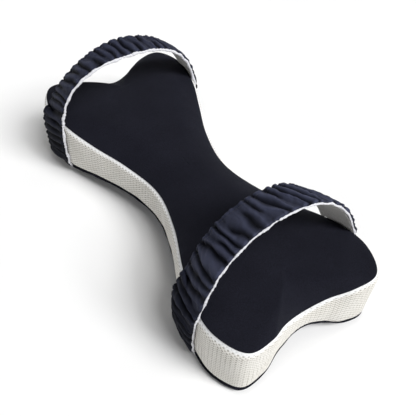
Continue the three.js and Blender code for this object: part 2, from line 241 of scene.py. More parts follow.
def tube_object(name, rings, uvs=None, shade=None):
    """A closed skin over equal rings of points, capped at both ends."""
    rows, columns = rings.shape[:2]
    faces = grid_faces(rows, columns, closed_columns=True)
    faces.append(list(range(columns)))
    faces.append(list(range((rows - 1) * columns, rows * columns))[::-1])
    piece = make_object(name, rings, faces, uvs)
    if shade is not None:
        point_attribute(piece, "shade", shade)
    return tidy(piece)


def with_modifier(piece, kind, **settings):
    """Adds a modifier and applies it at once."""
    modifier = piece.modifiers.new(kind, kind)
    for key, value in settings.items():
        setattr(modifier, key, value)
    depsgraph = bpy.context.evaluated_depsgraph_get()
    shaped = bpy.data.meshes.new_from_object(piece.evaluated_get(depsgraph))
    piece.modifiers.clear()
    old, piece.data = piece.data, shaped
    bpy.data.meshes.remove(old)
    return piece


def finish_piece(piece, material, slot, *nodes, body="root"):
    piece.data.materials.clear()
    piece.data.materials.append(material)
    if nodes:
        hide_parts(*nodes)
    if body:
        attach(piece, body)
    return piece


# ---------------- materials
class Surface:
    """A Principled material built up from a few kinds of node. Lengths are in metres."""

    def __init__(self, name, roughness, **sockets):
        self.material = bpy.data.materials.new(name)
        self.material.use_nodes = True
        self.tree = self.material.node_tree
        self.shader = self.tree.nodes["Principled BSDF"]
        self.shader.inputs["Roughness"].default_value = roughness
        for key, value in sockets.items():
            self.shader.inputs[key.replace("_", " ")].default_value = value

    def node(self, kind, inputs=(), **settings):
        node = self.tree.nodes.new(kind)
        for key, value in settings.items():
            setattr(node, key, value)
        for key, value in dict(inputs).items():
            self.put(node.inputs[key], value)
        return node

    def put(self, socket, value):
        if isinstance(value, bpy.types.NodeSocket):
            self.tree.links.new(value, socket)
        else:
            socket.default_value = value

    def math(self, operation, *values):
        node = self.node("ShaderNodeMath", enumerate(values), operation=operation)
        return node.outputs[0]

    def wave(self, coordinate, pitch, shift=0.0):
        """cos(2 pi (coordinate / pitch + shift))"""
        turns = self.math("MULTIPLY_ADD", coordinate, TURN / pitch, shift * TURN)
        return self.math("COSINE", turns)

    def coordinates(self, source):
        place = self.node("ShaderNodeTexCoord").outputs[source]
        split = self.node("ShaderNodeSeparateXYZ", {"Vector": place})
        return place, split.outputs[0], split.outputs[1]

    def noise(self, place, size, detail=2.0):
        node = self.node("ShaderNodeTexNoise", {"Vector": place, "Scale": 1 / size, "Detail": detail})
        return node.outputs["Fac"]

    def ramp(self, factor, low, high, start=0.0, end=1.0):
        """A colour, or a grey given as one number, from low to high as factor goes from start to end."""
        node = self.node("ShaderNodeValToRGB", {"Fac": factor})
        stops = ((start, low), (end, high))
        for element, (position, colour) in zip(node.color_ramp.elements, stops):
            element.position = position
            element.color = (*np.broadcast_to(colour, 3), 1)
        return node.outputs["Color"]

    def multiply(self, a, b, factor=1.0):
        node = self.node("ShaderNodeMix", data_type="RGBA", blend_type="MULTIPLY")
        self.put(node.inputs[0], factor)
        self.put(node.inputs[6], a)
        self.put(node.inputs[7], b)
        return node.outputs[2]

    def colour(self, value):
        self.put(self.shader.inputs["Base Color"], value)

    def roughness(self, place, size, spread, least, detail=2.0):
        """Roughness that wanders over the surface from least to least + spread."""
        uneven = self.math("MULTIPLY_ADD", self.noise(place, size, detail), spread, least)
        self.put(self.shader.inputs["Roughness"], uneven)

    def bump(self, *layers):
        """Stacks bumps, each a (height, strength, distance)."""
        normal = None
        for height, strength, distance in layers:
            inputs = {"Height": height, "Strength": strength, "Distance": distance}
            if normal is not None:
                inputs["Normal"] = normal
            normal = self.node("ShaderNodeBump", inputs).outputs["Normal"]
        self.put(self.shader.inputs["Normal"], normal)


def knit_material():
    """Fine navy warp knit: tiny chained loops, a soft nap and faint changes of shade."""
    s = Surface("navy_knit", 0.85, Specular_IOR_Level=0.08, Sheen_Weight=0.025, Sheen_Roughness=0.5,
                Sheen_Tint=(0.7, 0.78, 1, 1))
    place, x, y = s.coordinates("Object")
    wale = s.wave(x, 0.0011)
    course = s.wave(s.math("MULTIPLY_ADD", wale, 0.00022, y), 0.0008)
    loops = s.math("MULTIPLY_ADD", wale, course, 1.0)
    cloudy = s.ramp(s.noise(place, 0.045, 3), (0.0076, 0.0079, 0.0128), (0.0104, 0.0108, 0.017), 0.3, 0.7)
    heather = s.ramp(s.noise(place, 0.0009), (0.75, 0.75, 0.76), (1.2, 1.2, 1.24), 0.35, 0.65)
    stitch = s.ramp(loops, 0.82, 1.08, 0.2, 1.7)
    s.colour(s.multiply(s.multiply(cloudy, heather), stitch))
    s.roughness(place, 0.012, 0.14, 0.8)
    s.bump((s.noise(place, 0.006, 3), 0.12, 0.0006), (loops, 0.35, 0.00018))
    return s.material


def mesh_material(name, pitch, row, hole, thread):
    """White spacer mesh: diamond openings in staggered rows, darker inside; the point attribute hem
    marks the closed, bluer strip along a seam."""
    s = Surface(name, 0.8, Specular_IOR_Level=0.25, Sheen_Weight=0.1)
    place, u, v = s.coordinates("UV")
    hem = s.node("ShaderNodeAttribute", attribute_name="hem").outputs["Fac"]
    diamonds = s.math("MULTIPLY", s.wave(u, pitch), s.wave(v, 2 * row))
    rows = s.math("MULTIPLY_ADD", s.wave(v, 2 * row), 0.22, diamonds)
    open_ = s.math("MULTIPLY", rows, s.math("MULTIPLY_ADD", hem, -0.7, 1.0))
    strands = s.math("MULTIPLY", s.wave(u, pitch / 6), s.wave(v, row / 3))
    shade = s.ramp(open_, thread, hole, 0.05, 0.75)
    wear = s.ramp(s.noise(place, 0.03, 3), (0.94, 0.935, 0.92), (1.0, 1.0, 1.0), 0.35, 0.65)
    fibre = s.ramp(s.noise(place, 0.0006), 0.93, 1.03, 0.35, 0.65)
    tinted = s.multiply(shade, s.ramp(hem, 1, (1.12, 1.16, 1.25)))
    s.colour(s.multiply(s.multiply(tinted, wear), fibre))
    s.roughness(place, 0.004, 0.15, 0.72)
    s.bump((open_, 0.5, -0.0004), (strands, 0.3, 0.00008))
    return s.material


def gathered_material():
    """Navy woven cover with a slight sheen; the point attribute shade paints shade into it, dark in the
    gathers' valleys and light on their crests.
    """
    s = Surface("gathered_navy", 0.6, Specular_IOR_Level=0.04, Sheen_Weight=0.01, Sheen_Roughness=0.4,
                Sheen_Tint=(0.5, 0.62, 1, 1))
    place, u, v = s.coordinates("UV")
    warp, weft = s.wave(u, 0.0007), s.wave(v, 0.0007)
    weave = s.math("MULTIPLY_ADD", warp, weft, 1.0)
    tone = s.ramp(s.noise(place, 0.02, 3), (0.044, 0.0485, 0.079), (0.062, 0.0685, 0.111), 0.3, 0.7)
    thread = s.ramp(weave, (0.8, 0.8, 0.82), (1.12, 1.12, 1.14), 0.2, 1.8)
    # painted shade from the point attribute shade multiplies the cloth's colour
    painted_shade = s.node("ShaderNodeAttribute", attribute_name="shade").outputs["Fac"]
    s.colour(s.multiply(s.multiply(tone, thread), s.ramp(painted_shade, (0.03, 0.03, 0.035), 1)))
    s.roughness(place, 0.008, 0.2, 0.5)
    s.bump((s.noise(place, 0.0035, 4), 0.25, 0.0005), (weave, 0.3, 0.0001))
    return s.material


def thread_material(name, light, dark, pitch, roughness=0.75):
    """Thread or woven tape: fine strands across the piece."""
    s = Surface(name, roughness, Specular_IOR_Level=0.3, Sheen_Weight=0.15)
    place, u, v = s.coordinates("UV")
    strands = s.wave(s.math("MULTIPLY_ADD", v, 0.35, u), pitch)
    tone = s.ramp(strands, dark, light, 0.0, 0.7)
    fuzz = s.ramp(s.noise(place, 0.0012, 3), 0.88, 1.05, 0.3, 0.7)
    s.colour(s.multiply(tone, fuzz))
    s.roughness(place, 0.003, 0.2, roughness - 0.1)
    s.bump((s.noise(place, 0.0012, 3), 0.4, 0.0003), (strands, 0.5, 0.0002))
    return s.material


def foam_material():
    """Open-cell memory foam: cream, with pores and a slight yellowing."""
    s = Surface("memory_foam", 0.95, Specular_IOR_Level=0.15)
    place = s.coordinates("Object")[0]
    cells = s.node("ShaderNodeTexVoronoi", {"Vector": place, "Scale": 900.0}).outputs["Distance"]
    tone = s.ramp(s.noise(place, 0.06, 3), (0.80, 0.70, 0.48), (0.88, 0.80, 0.60), 0.3, 0.7)
    pores = s.ramp(cells, 0.8, 1.05, 0.05, 0.5)
    s.colour(s.multiply(tone, pores))
    s.roughness(place, 0.003, 0.1, 0.88)
    s.bump((cells, 0.5, 0.0004))
    return s.material


def hard_material(name, light, dark, roughness, metallic, grain):
    """Nylon or plated metal, with fine wear in its finish."""
    s = Surface(name, roughness, Metallic=metallic)
    place = s.coordinates("Object")[0]
    s.colour(s.ramp(s.noise(place, grain, 4), dark, light, 0.35, 0.65))
    s.roughness(place, grain * 0.6, 0.2, roughness - 0.1, 3)
    s.bump((s.noise(place, grain * 0.4, 3), 0.15, 0.0001))
    return s.material


def floor_material():
    s = Surface("pale_floor", 0.75, Specular_IOR_Level=0.1)
    place = s.coordinates("Object")[0]
    s.colour(s.ramp(s.noise(place, 0.3, 2), 0.905, 0.925, 0.3, 0.7))
    return s.material


KNIT = knit_material()
SIDE_MESH = mesh_material("side_mesh", MESH_PITCH * MM, MESH_ROW * MM,
                          (0.34, 0.32, 0.28), (0.745, 0.73, 0.69))
# the strap lining's colours are partly its own grey and partly painted shade, darker than the side mesh
STRAP_MESH = mesh_material("strap_mesh", 0.0024, 0.0017, (0.29, 0.276, 0.264), (0.51, 0.504, 0.496))
GATHERED = gathered_material()
OVERLOCK = thread_material("white_overlock", (0.88, 0.88, 0.92), (0.62, 0.62, 0.66), 0.0011)
ELASTIC = thread_material("woven_elastic", (0.86, 0.85, 0.82), (0.62, 0.61, 0.58), 0.0009)
TAPE = thread_material("zip_tape_weave", (0.020, 0.022, 0.030), (0.010, 0.011, 0.015), 0.0008)
NAVY_THREAD = thread_material("navy_thread", (0.035, 0.038, 0.055), (0.015, 0.017, 0.025), 0.0005)
FOAM = foam_material()
NYLON = hard_material("nylon_coil", (0.030, 0.032, 0.045), (0.016, 0.017, 0.024), 0.4, 0.0, 0.002)
GUNMETAL = hard_material("gunmetal", (0.20, 0.21, 0.23), (0.11, 0.115, 0.13), 0.35, 1.0, 0.0015)


# ---------------- cushion
outline = outline_loop(AROUND)
spine = np.stack([np.clip(outline[:, 0], -SPINE_END, SPINE_END), np.zeros(AROUND)], axis=1)
to_spine = spine - outline[:, :2]
row_length = np.linalg.norm(to_spine, axis=1)
to_spine /= row_length[:, None]
seam_height = outline[:, 2]


def crown(x, distance, rise, run, power):
    """Height above the middle plane of a face that levels out from its seam inwards."""
    reach = np.clip(distance / np.minimum(run, row_length)[:, None], 0, 1)
    seam = seam_height[:, None]
    return seam + (rise(x) - seam) * (1 - (1 - reach) ** power)


def top_rise(x):
    return mix(TOP_RISE_WAIST, TOP_RISE_LOBE, smoothstep(np.abs(x), 20, 110))


def panel_grid(rise, run, power, opening):
    """Rings of points from the seam inwards: x, y, and height from the middle plane.

    opening is how far each row stops short of the spine."""
    share = (np.arange(PANEL_RINGS + 1) / PANEL_RINGS) ** 1.35
    distance = (row_length - opening)[:, None] * share
    flat = outline[:, None, :2] + to_spine[:, None, :] * distance[..., None]
    height = crown(flat[..., 0], distance, rise, run, power)
    return np.concatenate([flat, height[..., None]], axis=2)


def cover_grid():
    """The whole cover as one grid: spine, top panel, side wall, bottom panel, spine."""
    top = panel_grid(top_rise, TOP_CROWN_RUN, TOP_CROWN_POWER, 0)[:, ::-1]
    beside_zip = np.abs(outline[:, 0]) < SLOT_LENGTH / 2
    bottom = panel_grid(lambda x: BOTTOM_DROP, BOTTOM_CROWN_RUN, BOTTOM_CROWN_POWER,
                        beside_zip * SLOT_WIDTH / 2)
    bottom = bottom * [1, 1, -1]
    level = np.linspace(1, -1, GUSSET_LEVELS)[1:-1]
    outward = GUSSET_BULGE * (1 - np.abs(level) ** 3.4) ** (1 / 3.4)
    wall = outline[:, None, :2] - to_spine[:, None, :] * outward[None, :, None]
    wall = np.concatenate([wall, (seam_height[:, None] * level)[..., None]], axis=2)
    grid = np.concatenate([top, wall, bottom], axis=1)
    grid[..., 2] += MID_HEIGHT
    return grid


TOP_SEAM = PANEL_RINGS
BOTTOM_SEAM = PANEL_RINGS + GUSSET_LEVELS - 1


def inflate(grid, cap):
    """Lets the cover swell as cloth pinned along its two seams, by no more than each column's cap."""
    columns = grid.shape[1]
    cover = make_object("cover_cloth", grid, grid_faces(AROUND, columns, closed_rows=True))
    source = cover.data.attributes.new("source", "INT", "POINT")
    source.data.foreach_set("value", np.arange(len(cover.data.vertices), dtype=np.int32))
    tidy(cover)
    kept = np.empty(len(cover.data.vertices), dtype=np.int32)
    cover.data.attributes["source"].data.foreach_get("value", kept)
    pins = cover.vertex_groups.new(name="seams")
    on_seam = np.isin(kept % columns, (TOP_SEAM, BOTTOM_SEAM))
    pins.add(np.nonzero(on_seam)[0].tolist(), 1.0, "REPLACE")
    cloth = cover.modifiers.new("Cloth", "CLOTH")
    cloth.point_cache.frame_start, cloth.point_cache.frame_end = 1, CLOTH_FRAMES
    settings = cloth.settings
    settings.vertex_group_mass = "seams"
    settings.use_pressure = True
    settings.uniform_pressure_force = CLOTH_PRESSURE
    settings.effector_weights.gravity = 0
    settings.tension_stiffness = settings.compression_stiffness = 25
    settings.bending_stiffness = 2
    settings.quality = 6
    scene = bpy.context.scene
    for step in range(1, CLOTH_FRAMES + 1):
        scene.frame_set(step)
    depsgraph = bpy.context.evaluated_depsgraph_get()
    swollen = cover.evaluated_get(depsgraph).to_mesh()
    after = np.empty(len(swollen.vertices) * 3)
    swollen.vertices.foreach_get("co", after)
    flat = grid.reshape(-1, 3)
    move = after.reshape(-1, 3) / MM - flat[kept]
    length = np.linalg.norm(move, axis=1, keepdims=True)
    move *= np.minimum(1, cap[kept % columns, None] / np.maximum(length, 1e-9))
    result = flat.copy()
    result[kept] += move
    scene.frame_set(1)
    bpy.data.objects.remove(cover)
    result = result.reshape(grid.shape)
    # Spine points that share a place were merged, so all of them follow the one that was kept.
    for end in (0, -1):
        line = result[:, end]
        moved = np.linalg.norm(line - grid[:, end], axis=1)
        for i in range(AROUND):
            same = np.nonzero(np.linalg.norm(grid[:, end] - grid[i, end], axis=1) < 1e-3)[0]
            line[i] = line[same[np.argmax(moved[same])]]
    result[..., 2] = np.maximum(result[..., 2], 0)
    return result


def soften(grid, radius):
    """Averages a panel's heights over a radius, away from its seam, so its lobes flow together."""
    flat = grid.reshape(-1, 3)
    around, inward = np.roll(grid, -1, 0) - np.roll(grid, 1, 0), np.gradient(grid, axis=1)
    area = np.abs(around[..., 0] * inward[..., 1] - around[..., 1] * inward[..., 0]).ravel()
    average = np.empty(len(flat))
    for part in np.array_split(np.arange(len(flat)), 12):
        gap = np.sum((flat[part, None, :2] - flat[None, :, :2]) ** 2, axis=-1)
        weight = np.exp(-gap / (2 * radius ** 2)) * area
        average[part] = weight @ flat[:, 2] / weight.sum(axis=1)
    from_seam = np.linalg.norm(grid[..., :2] - grid[:, :1, :2], axis=-1)
    result = grid.copy()
    result[..., 2] = mix(grid[..., 2], average.reshape(grid.shape[:2]), smoothstep(from_seam, 3, 16))
    return result


def settle(grid, least, times):
    """Evens out a panel's heights away from its seam.

    least holds the height that each point stays above, so that the foam stays covered."""
    links, kept, twin = tidy_points(grid)
    height = grid.reshape(-1, 3)[kept, 2].copy()
    least = least.ravel()[kept]
    free = kept % grid.shape[1] > 2
    for _ in range(times):
        total = np.zeros_like(height)
        np.add.at(total, links[:, 0], height[links[:, 1]])
        np.add.at(total, links[:, 1], height[links[:, 0]])
        count = np.bincount(links.ravel(), minlength=len(height))
        height = np.where(free, np.maximum(mix(height, total / count, 0.6), least), height)
    result = grid.reshape(-1, 3).copy()
    result[:, 2] = height[twin]
    return result.reshape(grid.shape)


def tidy_points(grid):
    """A grid's distinct points and the links between them: links, kept, and each point's kept twin."""
    flat = grid.reshape(-1, 3)
    _, kept, twin = np.unique(np.round(flat[:, :2], 3), axis=0, return_index=True, return_inverse=True)
    number = np.arange(len(flat)).reshape(grid.shape[:2])
    ahead = np.stack([number, np.roll(number, -1, axis=0)], axis=-1).reshape(-1, 2)
    inward = np.stack([number[:, :-1], number[:, 1:]], axis=-1).reshape(-1, 2)
    links = twin.ravel()[np.concatenate([ahead, inward])]
    return links[links[:, 0] != links[:, 1]], kept, twin.ravel()


def seam_puckers(grid, rise, seed):
    """Small puckers that the sewing draws in a panel beside its seam."""
    pucker = waves(seed, 7, 7, 16)
    along = np.arange(AROUND)[:, None] * perimeter / AROUND
    away = np.cumsum(np.linalg.norm(np.diff(grid, axis=1, prepend=grid[:, :1]), axis=2), axis=1)
    fade = np.exp(-away / 7) * (1 - np.exp(-away / 1.5))
    lift = pucker(along * np.ones_like(away), away * 0.3) * fade * rise
    shifted = grid.copy()
    shifted[..., 2] = np.maximum(shifted[..., 2] + lift, 0)
    return shifted


def knit_panel(name, grid, up, node):
    """A panel from its seam to the spine, with its edge turned in, as a closed shell."""
    fold = grid[:, :1].copy()
    fold[..., :2] += to_spine[:, None, :] * SEAM_TUCK
    fold[..., 2] -= up * SEAM_TUCK
    rolled = grid.copy()
    rolled[:, 0, :2] += to_spine * 0.15
    full = np.concatenate([fold, rolled], axis=1)
    piece = tidy(make_object(name, full, grid_faces(AROUND, full.shape[1], closed_rows=True)))
    facing = sum(face.normal.z * face.area for face in piece.data.polygons)
    if facing * up < 0:
        piece.data.flip_normals()
    with_modifier(piece, "SUBSURF", levels=1, render_levels=1)
    with_modifier(piece, "SOLIDIFY", thickness=PANEL_THICKNESS * MM, offset=-1)
    finish_piece(piece, KNIT, "navy_knit", node)


def side_wall(grid):
    """The mesh wall: a fine grid dimpled in diamond rows, turned in at both seams."""
    wall = grid[:, TOP_SEAM:BOTTOM_SEAM + 1].copy()
    for end, up in ((0, 1), (-1, -1)):
        wall[:, end, :2] += to_spine * SEAM_TUCK
        wall[:, end, 2] -= up * SEAM_TUCK * 0.6
    fine = refine(wall, GUSSET_REFINE)
    fine = refine(fine.swapaxes(0, 1), GUSSET_REFINE, closed=False).swapaxes(0, 1)
    rows, columns = fine.shape[:2]
    inward = refine(to_spine, GUSSET_REFINE)
    along = np.arange(rows)[:, None] * perimeter / rows * np.ones((1, columns))
    up = fine[..., 2] - MID_HEIGHT
    normals = grid_normals(fine, True, False)
    normals *= -np.sign(np.sum(normals[..., :2] * inward[:, None, :], axis=-1, keepdims=True))
    opening = np.cos(TURN * along / MESH_PITCH) * np.cos(TURN * up / (2 * MESH_ROW))
    edge_fade = smoothstep(np.minimum(np.arange(columns), np.arange(columns)[::-1]), 1, 6)
    soft = waves(5, 6, 25, 70)(along, up)
    lift = (-MESH_DEPTH * np.clip(opening, 0, 1) + 0.35 * soft) * edge_fade
    outer = fine + normals * lift[..., None]
    inner = fine[:, ::-GUSSET_REFINE * 2].copy()
    inner[..., :2] += inward[:, None, :] * GUSSET_THICKNESS
    skin = np.concatenate([outer, inner], axis=1)
    inner_up = inner[..., 2] - MID_HEIGHT
    u = np.concatenate([along, along[:, :inner.shape[1]]], axis=1)
    uvs = np.stack([u, np.concatenate([up, inner_up], axis=1)], axis=-1).reshape(-1, 2)
    faces = grid_faces(rows, skin.shape[1], closed_rows=True, closed_columns=True)
    piece = make_object("mesh_side_wall", skin, faces, uvs)
    from_top = np.cumsum(np.linalg.norm(np.diff(outer, axis=1, prepend=outer[:, :1]), axis=2), axis=1)
    hem = np.zeros(skin.shape[:2])
    hem[:, :columns] = 1 - smoothstep(from_top, *HEM_STRIP)
    point_attribute(piece, "hem", hem)
    return tidy(piece)


def rolled_edge():
    """The bottom panel's edge rolled over its seam, a navy line round the foot of the side wall."""
    sides = 12
    path = refine(outline, 3)
    away = -refine(to_spine, 3)
    along = np.arange(len(path)) * perimeter / len(path)
    plump = 1 + 0.1 * waves(41, 7, 9, 30)(along, 0 * along)
    turn = np.arange(sides) / sides * TURN
    reach = ROLL_OUT + ROLL_WIDTH * plump[:, None] * np.cos(turn)
    flat = path[:, None, :2] + away[:, None, :] * reach[..., None]
    thin = mix(1, 0.65, smoothstep(path[:, 0], 90, 160))
    height = MID_HEIGHT - path[:, None, 2] + ROLL_HEIGHT * (plump * thin)[:, None] * np.sin(turn)
    skin = np.concatenate([flat, height[..., None]], axis=2)
    return tidy(make_object("knit_rolled_edge", skin, grid_faces(len(path), sides, True, True)))


lengths = np.linalg.norm(np.diff(outline, axis=0, append=outline[:1])[:, :2], axis=1)
perimeter = round(lengths.sum() / MESH_PITCH) * MESH_PITCH

cover = cover_grid()
top_least = cover[:, TOP_SEAM::-1, 2] - SETTLE_DROP
swell = np.full(cover.shape[1], SWELL_TOP)
swell[TOP_SEAM:] = SWELL_REST
cover = inflate(cover, swell)
top_grid = settle(soften(cover[:, TOP_SEAM::-1], LOBE_BLEND), top_least, SETTLE_ROUNDS)

knit_panel("knit_top", seam_puckers(top_grid, PUCKER_TOP, 31), 1, "top_panel")
mesh_side = finish_piece(side_wall(cover), SIDE_MESH, "white_mesh", "gusset")
knit_panel("knit_bottom", seam_puckers(cover[:, BOTTOM_SEAM:], PUCKER_BOTTOM, 37), -1, "bottom_panel")
finish_piece(rolled_edge(), KNIT, "navy_knit")


# ---------------- straps
COVER_OFFSET, COVER_THICKNESS = 2.1, 0.5
BAND_COLUMNS = 38
BAND_STEP = 0.85
SLANT = 0.18  # how far the gathers lean along the strap for each millimetre across it
HEM = 3.5  # the row of stitches' distance from the back edge
ELASTIC_TOP, ELASTIC_BOTTOM, LINING_TOP = 0.15, 0.75, 0.9  # depths below the cover's inside
RIB_PITCH = 3.6  # the ribs that the elastic draws in the lining
STITCH = 3.1  # the length of a hem stitch and its gap
WRAP_PITCH, EDGE_SIDES = 1.7, 14  # the overlock's turns along the binding, and its section's points
FRAY_LIFT, FRAY_THREADS, FRAY_POINTS = 1.6, 6, 9  # the loose threads at each foot


def wall_reach(x, height, side):
    """How far the finished side wall stands out from the middle at x and height, on one side."""
    wall = cover[:, TOP_SEAM:BOTTOM_SEAM + 1]
    middle = wall[:, GUSSET_LEVELS // 2 - 1]
    on_side = wall[middle[:, 1] * side > FLANK]
    on_side = on_side[np.argsort(on_side[:, GUSSET_LEVELS // 2 - 1, 0])]
    levels = np.array([
        [np.interp(x, on_side[:, k, 0], np.abs(on_side[:, k, axis])) for axis in (2, 1)]
        for k in range(on_side.shape[1])
    ])[::-1]
    reach = [np.interp(h, levels[:, 0, i], levels[:, 1, i]) for i, h in enumerate(height)]
    return np.array(reach)


def outline_at(x, side):
    """The outline's distance from the middle and its seams' height at x, on one side."""
    rows = outline[outline[:, 1] * side > FLANK]
    rows = rows[np.argsort(rows[:, 0])]
    return np.interp(x, rows[:, 0], np.abs(rows[:, 1])), np.interp(x, rows[:, 0], rows[:, 2])


def band_path(strap, share):
    """The strap's inner line across the cushion at one place in its width, foot to foot."""
    def between(values):
        return np.interp(share, (0, 0.5, 1), values)

    def x_at(height):
        low = smoothstep(height, -SEAM_LEVEL, SEAM_LEVEL)
        high = smoothstep(height, SEAM_LEVEL, top)
        back, front = [mix(mix(foot, seam, low), crest, high)
                       for foot, seam, crest in (strap["back"], strap["front"])]
        return mix(back, front, share)

    top, half_arch = between(strap["tops"]), np.array([1, mix(*strap["squarer"], share)])
    span = between(strap["spans"]) + np.array([0, strap["spread"]])
    foot_x = mix(strap["back"][0], strap["front"][0], share)
    turn = np.linspace(0, math.pi, 500)
    cosine, sine = np.cos(turn), np.sin(turn)
    right_half = (cosine < 0).astype(int)
    power = (between(strap["powers"]) * half_arch)[right_half]
    arch_y = -np.sign(cosine) * span[right_half] * np.abs(cosine) ** (2 / power)
    arch_z = top * np.maximum(sine, 0) ** (2 / power)
    legs = []
    for side in (-1, 1):
        foot_y, foot_drop = outline_at(foot_x, side)
        height = np.linspace(-foot_drop, 0, 60)[:-1]
        leg_y = span[0] if side < 0 else span[1]
        y = mix(foot_y + 0.4, leg_y, smoothstep(height + foot_drop, 0, LEG_SPREAD_RISE))
        legs.append(np.stack([y * side, height], axis=1))
    line = np.concatenate([legs[0], np.stack([arch_y, arch_z], axis=1), legs[1][::-1]])
    height = line[:, 1]
    x = x_at(height) + mix(*strap["twist"], share) * smoothstep(line[:, 0], 25, 88)
    side = np.where(line[:, 0] < 0, -1, 1)
    clear = [wall_reach(x, height + MID_HEIGHT, one) + 0.5 for one in (-1, 1)]
    clear = np.where(side < 0, *clear) * (height < SEAM_LEVEL + 3)
    reach = np.maximum(np.abs(line[:, 0]), clear)
    return np.stack([x, reach * side, height + MID_HEIGHT], axis=1)


def along_path(line, count):
    """The line at count points spaced equally along it."""
    travelled = travel(line)
    wanted = np.linspace(0, travelled[-1], count)
    return np.stack([np.interp(wanted, travelled, line[:, k]) for k in range(3)], axis=1)


def smooth_rows(grid, times):
    """Evens a grid out along its first axis, keeping its ends."""
    for _ in range(times):
        grid = grid.copy()
        grid[1:-1] = (grid[:-2] + 2 * grid[1:-1] + grid[2:]) / 4
    return grid


class Band:
    """The surface a strap's layers are built on: points along it, across it and out from it."""

    def __init__(self, strap):
        shares = np.linspace(0, 1, BAND_COLUMNS)
        lines = [band_path(strap, share) for share in shares]
        self.length = np.linalg.norm(np.diff(lines[BAND_COLUMNS // 2], axis=0), axis=1).sum()
        count = int(self.length / BAND_STEP)
        grid = np.stack([along_path(line, count) for line in lines], axis=1)
        self.grid = smooth_rows(grid, 10)
        self.normals = grid_normals(self.grid, False, False)
        self.normals *= np.sign(self.normals[count // 2, BAND_COLUMNS // 2, 2])
        self.width = strap["front"][2] - strap["back"][2]
        self.along = np.linspace(0, self.length, count)[:, None] * np.ones(BAND_COLUMNS)
        self.across = self.width * shares[None, :] * np.ones((count, 1))
        self.side = unit(np.gradient(self.grid, axis=1))

    def at(self, along, across, out):
        """Points at distances along, across (from the back edge) and out from the band."""
        i = np.clip(along / self.length, 0, 1) * (self.grid.shape[0] - 1)
        j = np.clip(across / self.width, 0, 1) * (BAND_COLUMNS - 1)
        i0 = np.minimum(i.astype(int), self.grid.shape[0] - 2)
        j0 = np.minimum(j.astype(int), BAND_COLUMNS - 2)
        fi, fj = (i - i0)[..., None], (j - j0)[..., None]

        def sample(values):
            low = mix(values[i0, j0], values[i0, j0 + 1], fj)
            high = mix(values[i0 + 1, j0], values[i0 + 1, j0 + 1], fj)
            return mix(low, high, fi)
        spill = sample(self.side) * (across - np.clip(across, 0, self.width))[..., None]
        return sample(self.grid) + sample(self.normals) * out[..., None] + spill

    def axes(self, along, across, out):
        """Points as at() gives them, and the steps of 1 mm across the band and out from it there."""
        points = self.at(along, across, out)
        return points, self.at(along, across + 1, out) - points, self.at(along, across, out + 1) - points

    def shell(self, name, outer, inner, spread=0.0, shift=0.0, shade=None):
        """A closed skin between two offsets, its edges moved sideways by spread at each side."""
        across = self.across + spread * (2 * self.across / self.width - 1) + shift
        over = self.at(self.along, across, outer)
        under = self.at(self.along, across, inner)
        rings = np.concatenate([over, under[:, ::-1]], axis=1)
        u = np.concatenate([self.along, self.along], axis=1)
        v = np.concatenate([across, across[:, ::-1]], axis=1)
        # tone is the painted shade, on both faces of the skin
        tone = None if shade is None else np.concatenate([shade, shade[:, ::-1]], axis=1)
        return tube_object(name, rings, np.stack([u, v], axis=-1).reshape(-1, 2), tone)


